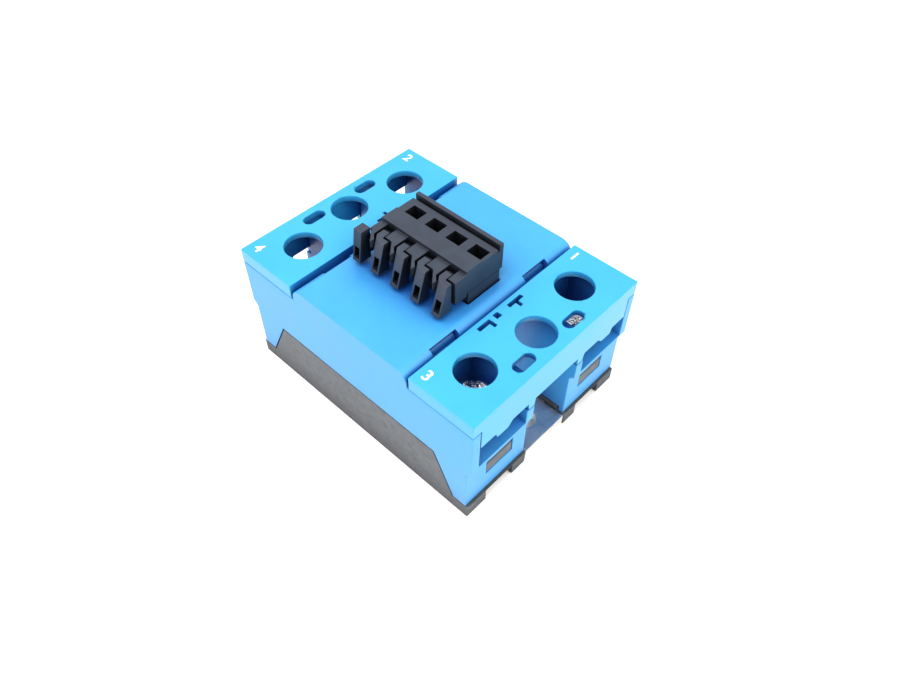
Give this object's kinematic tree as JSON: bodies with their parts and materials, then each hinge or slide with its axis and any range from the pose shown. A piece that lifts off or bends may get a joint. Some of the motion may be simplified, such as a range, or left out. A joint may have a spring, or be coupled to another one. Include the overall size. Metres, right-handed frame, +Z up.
{
  "type": "solid state relay",
  "caption": "Panel-mount solid state relay: metal base plate, moulded housing, hinged terminal covers over screw clamps and a pull-off control plug with release levers.",
  "frame": {"origin": "centre of the mounting face, on the underside of the base plate", "axes": "+X along the length towards the line-side terminals, +Y across the body, +Z up through the plug"},
  "size_m": [0.059, 0.0446, 0.0369],
  "materials": {
    "nickel_plate": "satin nickel plating",
    "grey_plastic": "fine spark texture",
    "blue_plastic": "fine spark texture",
    "blue_cover_plastic": "semi-gloss",
    "tinned_copper": "bright tin",
    "plated_steel": "bright zinc",
    "bright_steel": "bright nickel",
    "alumina": "fired ceramic",
    "silicon": "polished",
    "glass_fibre_board": "solder mask",
    "black_package": "moulded",
    "resistor_body": "lacquered",
    "black_nylon": "satin moulded",
    "tinned_pin": "bright tin",
    "contact_brass": "bright",
    "lever_nylon": "satin moulded"
  },
  "bodies": {
    "relay": {"base_plate": "nickel_plate", "base_frame": "grey_plastic", "housing_cover": "blue_plastic", "power_terminal_1": "tinned_copper", "power_terminal_2": "tinned_copper", "power_terminal_3": "tinned_copper", "power_terminal_4": "tinned_copper", "terminal_nut_1": "plated_steel", "terminal_nut_2": "plated_steel", "terminal_nut_3": "plated_steel", "terminal_nut_4": "plated_steel", "ceramic_substrate_1": "alumina", "ceramic_substrate_2": "alumina", "thyristor_chip_1": "silicon", "thyristor_chip_2": "silicon", "thyristor_chip_3": "silicon", "thyristor_chip_4": "silicon", "control_board": "glass_fibre_board", "opto_coupler_1": "black_package", "opto_coupler_2": "black_package", "gate_resistor_1": "resistor_body", "gate_resistor_2": "resistor_body", "gate_resistor_3": "resistor_body", "gate_resistor_4": "resistor_body", "header_housing": "black_nylon", "header_pin_1": "tinned_pin", "header_pin_2": "tinned_pin", "header_pin_3": "tinned_pin", "header_pin_4": "tinned_pin"},
    "line_cover": {"line_terminal_cover": "blue_cover_plastic"},
    "load_cover": {"load_terminal_cover": "blue_cover_plastic"},
    "plug": {"plug_housing": "black_nylon", "plug_contact_1": "contact_brass", "plug_contact_2": "contact_brass", "plug_contact_3": "contact_brass", "plug_contact_4": "contact_brass"},
    "lever_1": {"release_lever_1": "lever_nylon"},
    "lever_2": {"release_lever_2": "lever_nylon"},
    "lever_3": {"release_lever_3": "lever_nylon"},
    "lever_4": {"release_lever_4": "lever_nylon"},
    "washer_1": {"clamp_washer_1": "plated_steel"},
    "screw_1": {"terminal_screw_1": "bright_steel"},
    "washer_2": {"clamp_washer_2": "plated_steel"},
    "screw_2": {"terminal_screw_2": "bright_steel"},
    "washer_3": {"clamp_washer_3": "plated_steel"},
    "screw_3": {"terminal_screw_3": "bright_steel"},
    "washer_4": {"clamp_washer_4": "plated_steel"},
    "screw_4": {"terminal_screw_4": "bright_steel"}
  },
  "joints": [
    {"name": "line_cover_hinge", "type": "hinge", "parent": "relay", "child": "line_cover", "pos_m": [0.0122, 0, 0.026], "axis": [0, -1, 0], "range_deg": [0, 55]},
    {"name": "load_cover_hinge", "type": "hinge", "parent": "relay", "child": "load_cover", "pos_m": [-0.0122, 0, 0.026], "axis": [0, 1, 0], "range_deg": [0, 55]},
    {"name": "plug_pull", "type": "slide", "parent": "relay", "child": "plug", "axis": [0, 0, 1], "range_m": [0, 0.012]},
    {"name": "lever_1_pivot", "type": "hinge", "parent": "plug", "child": "lever_1", "pos_m": [-0.0042, -0.0049, 0.0337], "axis": [-1, 0, 0], "range_deg": [0, 10], "stiffness_Nm_per_rad": 0.002, "springref_deg": -11.46},
    {"name": "lever_2_pivot", "type": "hinge", "parent": "plug", "child": "lever_2", "pos_m": [0.00088, -0.0049, 0.0337], "axis": [-1, 0, 0], "range_deg": [0, 10], "stiffness_Nm_per_rad": 0.002, "springref_deg": -11.46},
    {"name": "lever_3_pivot", "type": "hinge", "parent": "plug", "child": "lever_3", "pos_m": [0.00596, -0.0049, 0.0337], "axis": [-1, 0, 0], "range_deg": [0, 10], "stiffness_Nm_per_rad": 0.002, "springref_deg": -11.46},
    {"name": "lever_4_pivot", "type": "hinge", "parent": "plug", "child": "lever_4", "pos_m": [0.01104, -0.0049, 0.0337], "axis": [-1, 0, 0], "range_deg": [0, 10], "stiffness_Nm_per_rad": 0.002, "springref_deg": -11.46},
    {"name": "washer_1_lift", "type": "slide", "parent": "relay", "child": "washer_1", "axis": [0, 0, 1], "range_m": [0, 0.0032]},
    {"name": "screw_1_turn", "type": "hinge", "parent": "washer_1", "child": "screw_1", "pos_m": [0.0218, -0.0134, 0.02], "axis": [0, 0, 1], "range_deg": [0, 1440]},
    {"name": "washer_2_lift", "type": "slide", "parent": "relay", "child": "washer_2", "axis": [0, 0, 1], "range_m": [0, 0.0032]},
    {"name": "screw_2_turn", "type": "hinge", "parent": "washer_2", "child": "screw_2", "pos_m": [0.0218, 0.0134, 0.02], "axis": [0, 0, 1], "range_deg": [0, 1440]},
    {"name": "washer_3_lift", "type": "slide", "parent": "relay", "child": "washer_3", "axis": [0, 0, 1], "range_m": [0, 0.0032]},
    {"name": "screw_3_turn", "type": "hinge", "parent": "washer_3", "child": "screw_3", "pos_m": [-0.0218, 0.0134, 0.02], "axis": [0, 0, 1], "range_deg": [0, 1440]},
    {"name": "washer_4_lift", "type": "slide", "parent": "relay", "child": "washer_4", "axis": [0, 0, 1], "range_m": [0, 0.0032]},
    {"name": "screw_4_turn", "type": "hinge", "parent": "washer_4", "child": "screw_4", "pos_m": [-0.0218, -0.0134, 0.02], "axis": [0, 0, 1], "range_deg": [0, 1440]}
  ],
  "couplings": [
    {"joint": "screw_1_turn", "follows": "washer_1_lift", "rad_per_m": 7854},
    {"joint": "screw_2_turn", "follows": "washer_2_lift", "rad_per_m": 7854},
    {"joint": "screw_3_turn", "follows": "washer_3_lift", "rad_per_m": 7854},
    {"joint": "screw_4_turn", "follows": "washer_4_lift", "rad_per_m": 7854}
  ]
}
